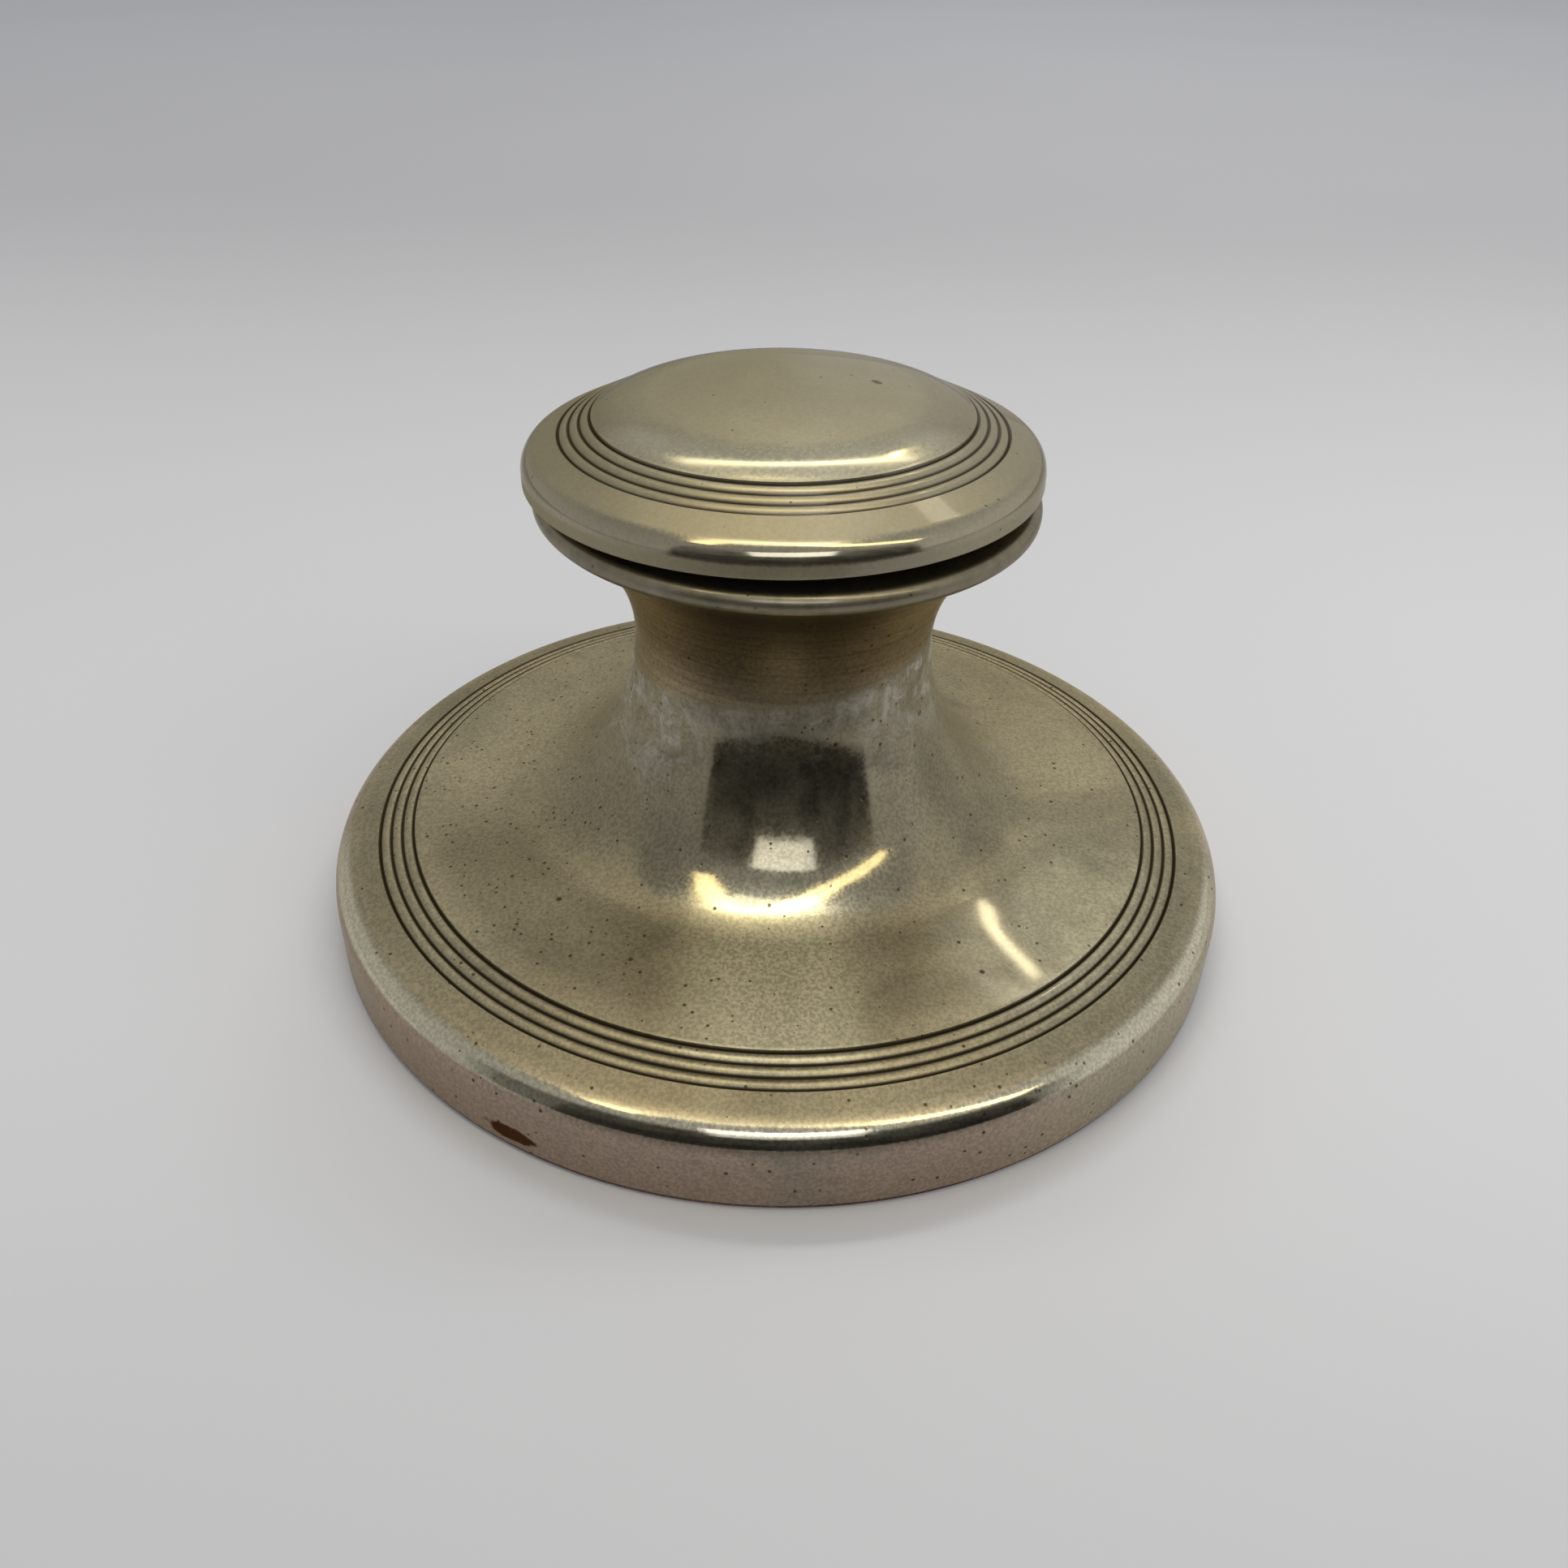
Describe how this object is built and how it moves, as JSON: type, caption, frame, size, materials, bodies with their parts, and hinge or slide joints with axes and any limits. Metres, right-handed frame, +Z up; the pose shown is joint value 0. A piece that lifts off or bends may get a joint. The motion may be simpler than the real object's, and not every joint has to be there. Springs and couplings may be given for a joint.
{
  "type": "capstan inkwell",
  "caption": "Capstan-shaped silver inkwell: broad weighted foot with a reeded band, waisted neck holding a glass ink pot, and a domed hinged lid.",
  "frame": {"origin": "centre of the underside, on the surface the inkwell stands on", "axes": "+Z up along the axis of the neck, +Y towards the lid's hinge, -Y the front where the lid lifts"},
  "size_m": [0.1186, 0.1186, 0.0702],
  "materials": {
    "silver": "satin silver with warm tarnish and fine wear",
    "glass": "clear pressed glass",
    "brass": "plain sheet brass",
    "wood": "plain turned board",
    "leather": "thin brown skiver, worn at the edge",
    "plaster": "cast weighting"
  },
  "bodies": {
    "stand": {"base_cover": "leather", "base_board": "wood", "filling": "plaster", "body_shell": "silver", "well_sleeve": "brass", "collar": "silver", "ink_pot": "glass", "collar_bearer": "silver", "collar_knuckle_left": "silver", "collar_knuckle_middle": "silver", "collar_knuckle_right": "silver", "hinge_pin": "silver"},
    "lid": {"lid_dome": "silver", "lid_plate": "silver", "lid_bearer": "silver", "lid_knuckle_left": "silver", "lid_knuckle_right": "silver"}
  },
  "joints": [
    {"name": "lid_hinge", "type": "hinge", "parent": "stand", "child": "lid", "pos_m": [0, 0.03, 0.05845], "axis": [-1, 0, 0], "range_deg": [0, 105]}
  ]
}
